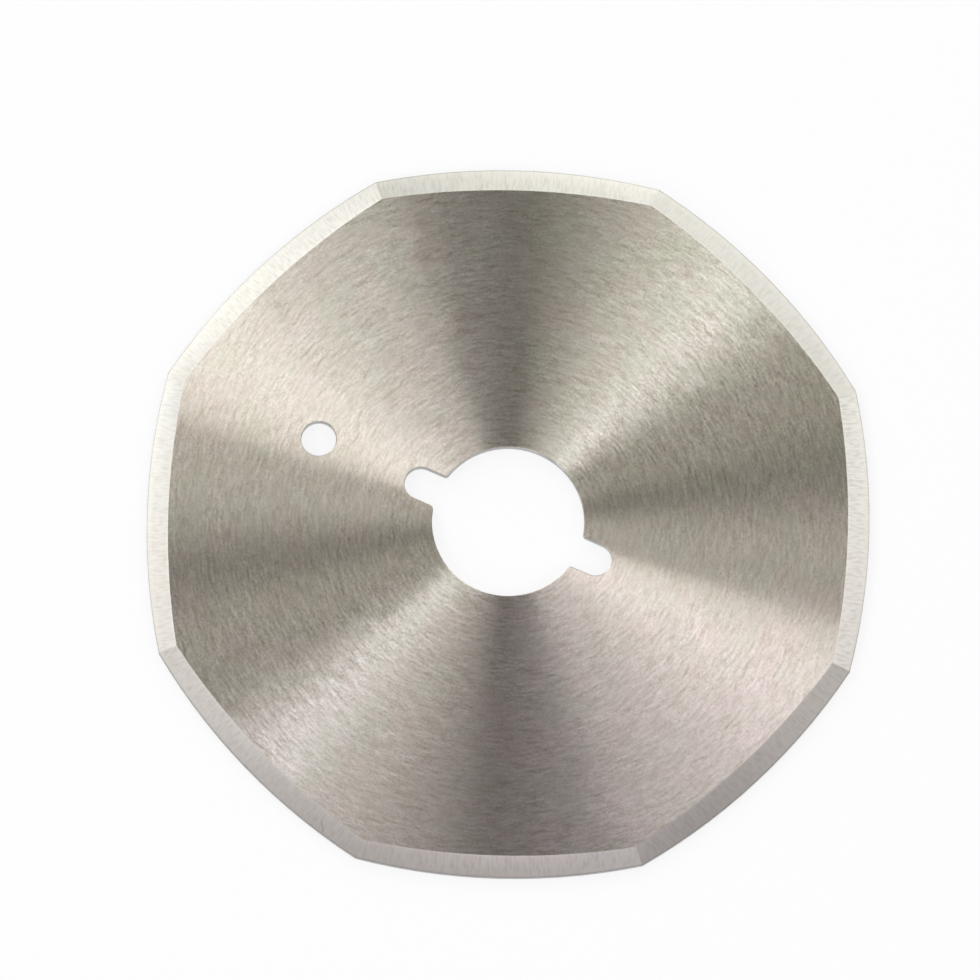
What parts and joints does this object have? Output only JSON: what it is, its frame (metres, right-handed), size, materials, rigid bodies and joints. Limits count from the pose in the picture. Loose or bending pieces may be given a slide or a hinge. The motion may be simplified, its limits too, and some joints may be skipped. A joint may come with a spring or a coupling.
{
  "type": "rotary cutter blade",
  "caption": "Flat octagonal rotary cutting blade with bowed bevelled sides, a central bore with two opposed drive notches and a small pin hole.",
  "frame": {"origin": "centre of the flat back face, on the axis of the bore", "axes": "+Z along the bore, from the back to the bevelled face; X through both drive notches, with the pin hole on -X"},
  "size_m": [0.1, 0.1, 0.0015],
  "materials": {
    "blade_steel": "circularly brushed on the face, with cross-ground bevels"
  },
  "bodies": {
    "root": {"blade": "blade_steel"}
  },
  "joints": []
}
